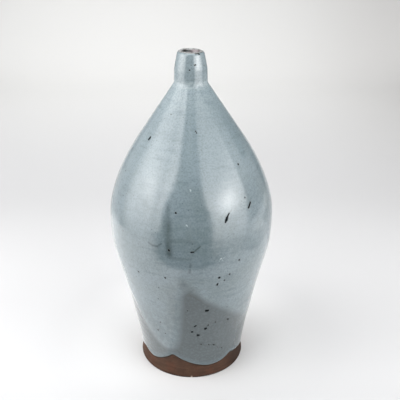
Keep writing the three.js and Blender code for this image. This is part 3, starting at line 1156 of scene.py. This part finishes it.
def white_paper():
    """Matt white studio paper, a little uneven, with painted light and shade: painted whitest round the
    foot against the vase's shadow, and painted shade in front, behind and at the far right."""
    material, tree, place = new_material("white_studio_paper")
    colour = layered(
        tree,
        "#d7d7d8",
        (clouds(tree, place, 400, 2, 0.3, 0.7, (0, 0, 0)), "#dadadb", 1),
        # painted light: whiter round the foot, lifting the vase's shadow
        (near_spot(tree, place, FOOT_MIDDLE, 180, 70, SOFT), "#ececec", 1),
        # painted shade: greyer in front, behind, a little less up the sweep, and to the right
        (band(tree, place, -40, -200, "Y"), "#c6c6c7", 1),
        (band(tree, place, 120, 500, "Y"), "#c8c8c9", 1),
        (band(tree, place, 500, 1350, "Y"), "#d2d2d1", 1),
        (band(tree, place, 250, 850, "X"), "#c2c1c0", 1),
    )
    surface = add(tree, "ShaderNodeBsdfPrincipled", {"Base Color": colour, "Roughness": 0.9})
    add(tree, "ShaderNodeOutputMaterial", {"Surface": surface})
    return material


def stage():
    material = white_paper()
    sweep = [at(TABLE_BACK, 0), at(PAPER_BEND, 0)]
    middle = at(PAPER_BEND, PAPER_BEND_RADIUS)
    bend = quarter_round(middle, PAPER_BEND_RADIUS, PAPER_BEND_RADIUS, 270, PAPER_BEND_STEPS)
    sweep.extend(bend[1:])
    sweep.append(at(PAPER_BEND + PAPER_BEND_RADIUS, PAPER_TOP))
    paper("paper_sweep", SWEEP_LEFT, SWEEP_RIGHT, sweep, material)
    table = [at(TABLE_FRONT, 0), at(TABLE_BACK, 0)]
    paper("paper_table", TABLE_LEFT, TABLE_RIGHT, table, material)
    front = [at(FLOOR_FRONT, 0), at(TABLE_FRONT, 0)]
    surround = (
        ("left_sweep", -FLOOR_REACH, SWEEP_LEFT, sweep),
        ("right_sweep", SWEEP_RIGHT, FLOOR_REACH, sweep),
        ("left_floor", -FLOOR_REACH, TABLE_LEFT, table),
        ("right_floor", TABLE_RIGHT, FLOOR_REACH, table),
        ("front_floor", -FLOOR_REACH, FLOOR_REACH, front),
    )
    for place in surround:
        sheet = paper(*place, material)
        sheet.visible_glossy = False
        sheet.visible_diffuse = False
        sheet.visible_shadow = False


# Light: a large soft panel at each side with a bright middle, a dimmer cloth above the camera, bright
# cards on the table for the glaze to mirror and a lamp on the paper behind, in a dim room with a bright
# ceiling. Panels are set round the vase by azimuth and elevation, in degrees, and brightness is given
# as times a white surface.
PANEL_CENTRE = Vector((0, 0, 0.2))
PANEL_DISTANCE = 1.7
PANEL_STEPS = 72
CARD_HEIGHT = 0.0015
CARD_STEPS = 24
FAR_CARD_GLOW = 0.84
LAMP_PLACE = Vector((-0.25, 0.9, 1.5))
LAMP_AIM = Vector((-0.2, 1.65, 0.15))
LAMP_WATTS = 1.6
LAMP_SIZE = 0.6
LAMP_SPREAD = 90
ROOM_DIM = 0.18
ROOM_CEILING = 3.0
CEILING_START = 0.78
CEILING_FULL = 0.96
ROOM_SEEN = 0.85


def bright_middle(azimuth, elevation, middle_azimuth, middle_elevation, width, height):
    across = (azimuth - middle_azimuth) / width
    up = (elevation - middle_elevation) / height
    return math.exp(-across * across - up * up)


def left_glow(azimuth, elevation):
    """Bright between a leaning inner edge and the outer side, with a post near the inner edge, a bright
    core and a dimmer part behind."""
    inner_edge = -48 + 8 * eased(elevation, -18, -2) + 16 * eased(elevation, 8, 40)
    spread = eased(inner_edge - azimuth, -3, 4) * eased(azimuth, -116, -86)
    level = 1.7 + 1.65 * eased(elevation, -20, 14) - 0.9 * eased(elevation, 26, 44)
    post = 1 - 0.3 * bright_middle(azimuth, 0, -50, 0, 5, 1)
    core = 2.0 * bright_middle(azimuth, elevation, -68, 20, 14, 7)
    low = eased(-elevation, 4, 16)
    far = (0.75 - 0.3 * low) * eased(-azimuth, 84, 116)
    outer = eased(azimuth, -148, -134)
    return (level * spread * post + core + far * outer) * eased(elevation, -40, -24)


def right_glow(azimuth, elevation):
    """Bright between a leaning inner edge and the outer side, with a brighter belt, a strong core, a
    dimmer part behind that reaches less far back higher up, and a sloping top."""
    inner_edge = 27 - 9 * eased(elevation, 2, 28)
    upper = eased(elevation, -4, 6)
    spread = eased(azimuth - inner_edge, -3, 4) * eased(-azimuth, -88, -72 - 9 * upper)
    level = 1.6 + 0.85 * eased(elevation, -20, -2) - 0.9 * eased(elevation, 22, 42)
    belt = 0.65 * eased(elevation, 2, 10) * eased(-elevation, -26, -16)
    core = 4.4 * bright_middle(azimuth, elevation, 55.5, 14.5, 15, 7.5)
    low = eased(-elevation, 4, 16)
    high = eased(elevation, 6, 16)
    behind = eased(azimuth, 74, 92) * eased(142 - 26 * high - azimuth, 0, 16)
    far = (0.45 + 1.1 * low + 0.5 * high) * behind
    top = 52 - 0.42 * max(azimuth - 50, 0)
    glow = (level + belt) * spread + core + far
    return glow * eased(elevation, -36, -20) * eased(top - elevation, -5, 5)


def front_glow(azimuth, elevation):
    return 0.9 * eased(elevation, 38, 54) * eased(azimuth, -42, -20) * eased(-azimuth, -34, -14)


def near_card_glow(across, along):
    glow = 1.3 + 0.45 * eased(1 - across, 0.25, 0.6)
    return glow * (0.42 + 0.58 * eased(1 - along, 0, 0.3))


def right_card_glow(across, along):
    return 0.95 + 0.2 * eased(across, 0.1, 0.5)


def glowing_cloth():
    """White diffusing cloth lit from behind, as bright as its layer says."""
    material = bpy.data.materials.new("lit_diffusing_cloth")
    tree = empty_tree(material)
    brightness = add(tree, "ShaderNodeAttribute", {}, attribute_name="glow").outputs["Fac"]
    glow = add(tree, "ShaderNodeEmission", {"Strength": brightness})
    add(tree, "ShaderNodeOutputMaterial", {"Surface": glow})
    return material


def lit_sheet(name, steps, lay, material):
    """A lit sheet that the camera doesn't see. From the shares across and along it, lay gives the place
    and the brightness."""
    bm = bmesh.new()
    bmesh.ops.create_grid(bm, x_segments=steps, y_segments=steps, size=0.5)
    glow_layer = bm.verts.layers.float.new("glow")
    for vert in bm.verts:
        vert.co, vert[glow_layer] = lay(vert.co.x + 0.5, vert.co.y + 0.5)
    sheet = placed(bm, name, material)
    sheet.visible_camera = False
    return sheet


def between(ends, share):
    return ends[0] + share * (ends[1] - ends[0])


def soft_panel(name, azimuths, elevations, glow, material):
    def lay(across, along):
        azimuth = between(azimuths, across)
        elevation = between(elevations, along)
        turn = math.radians(azimuth)
        climb = math.radians(elevation)
        level = math.cos(climb)
        aim = Vector((level * math.sin(turn), -level * math.cos(turn), math.sin(climb)))
        return PANEL_CENTRE + PANEL_DISTANCE * aim, glow(azimuth, elevation)

    lit_sheet(name, PANEL_STEPS, lay, material)


def reflector_card(name, sides, depths, glow, material):
    """A bright card lying on the table, there for the glaze to mirror and nothing else."""
    def lay(across, along):
        spot = Vector((between(sides, across), between(depths, along), CARD_HEIGHT))
        return spot, glow(across, along)

    card = lit_sheet(name, CARD_STEPS, lay, material)
    card.visible_diffuse = False
    card.visible_shadow = False


def backdrop_lamp():
    lamp = bpy.data.lights.new("backdrop_lamp", "AREA")
    lamp.energy = LAMP_WATTS
    lamp.size = LAMP_SIZE
    lamp.spread = math.radians(LAMP_SPREAD)
    holder = in_scene(lamp)
    holder.location = LAMP_PLACE
    holder.rotation_euler = (LAMP_AIM - LAMP_PLACE).to_track_quat("-Z", "Y").to_euler()


def lights():
    cloth = glowing_cloth()
    soft_panel("left_panel", (-148, -5), (-40, 60), left_glow, cloth)
    soft_panel("right_panel", (0, 142), (-36, 60), right_glow, cloth)
    soft_panel("front_cloth", (-42, 34), (40, 75), front_glow, cloth)
    reflector_card("near_card", (-0.5, -0.05), (-0.24, 0.45), near_card_glow, cloth)
    reflector_card("far_card", (-1.3, -0.45), (0.5, 1.7), lambda *_: FAR_CARD_GLOW, cloth)
    reflector_card("right_card", (0.1, 0.34), (-0.24, 0.2), right_card_glow, cloth)
    backdrop_lamp()


def room():
    world = bpy.data.worlds.new("studio_room")
    bpy.context.scene.world = world
    tree = empty_tree(world)
    direction = add(tree, "ShaderNodeTexCoord", {}).outputs["Generated"]
    upward = add(tree, "ShaderNodeSeparateXYZ", {0: direction}).outputs["Z"]
    ends = {"Value": upward, "From Min": CEILING_START, "From Max": CEILING_FULL}
    ends.update({"To Min": ROOM_DIM, "To Max": ROOM_CEILING})
    lit = add(tree, "ShaderNodeMapRange", ends, interpolation_type=SOFT)
    seen = add(tree, "ShaderNodeLightPath", {}).outputs["Is Camera Ray"]
    strength = add(tree, "ShaderNodeMix", {0: seen, 2: lit, 3: ROOM_SEEN}, data_type="FLOAT")
    glow = add(tree, "ShaderNodeBackground", {"Color": (1, 1, 1, 1), "Strength": strength})
    add(tree, "ShaderNodeOutputWorld", {"Surface": glow})


# Camera, as found from the foot and lip circles in the photograph
CAMERA_PLACE = (0, -0.6257, 0.4759)
CAMERA_PITCH = 65.88
CAMERA_YAW = -0.55
CAMERA_SHIFT = 0.0081
CAMERA_LENS = 55.8
CAMERA_SENSOR = 36
CAMERA_NEAREST = 0.01


def camera():
    seen = bpy.data.cameras.new("camera")
    seen.lens = CAMERA_LENS
    seen.sensor_width = CAMERA_SENSOR
    seen.shift_x = CAMERA_SHIFT
    seen.clip_start = CAMERA_NEAREST
    holder = in_scene(seen)
    holder.location = CAMERA_PLACE
    holder.rotation_euler = (math.radians(CAMERA_PITCH), 0, math.radians(CAMERA_YAW))
    bpy.context.scene.camera = holder


def vase():
    clay = bare_stoneware()
    slip = fired_slip()
    lower_body(clay)
    upper_body(clay)
    neck(clay)
    slip_ring("belly_luting_slip", "belly_slip_ring", BELLY_JOINT, slip)
    slip_ring("neck_luting_slip", "neck_slip_ring", NECK_JOINT, slip)
    liner(liner_glaze())
    pit = burst_pit()
    first_coat(slate_glaze(), pit)
    second_coat(pale_glaze(), pit)


vase()
stage()
lights()
room()
camera()
bpy.context.scene.view_settings.view_transform = "Standard"
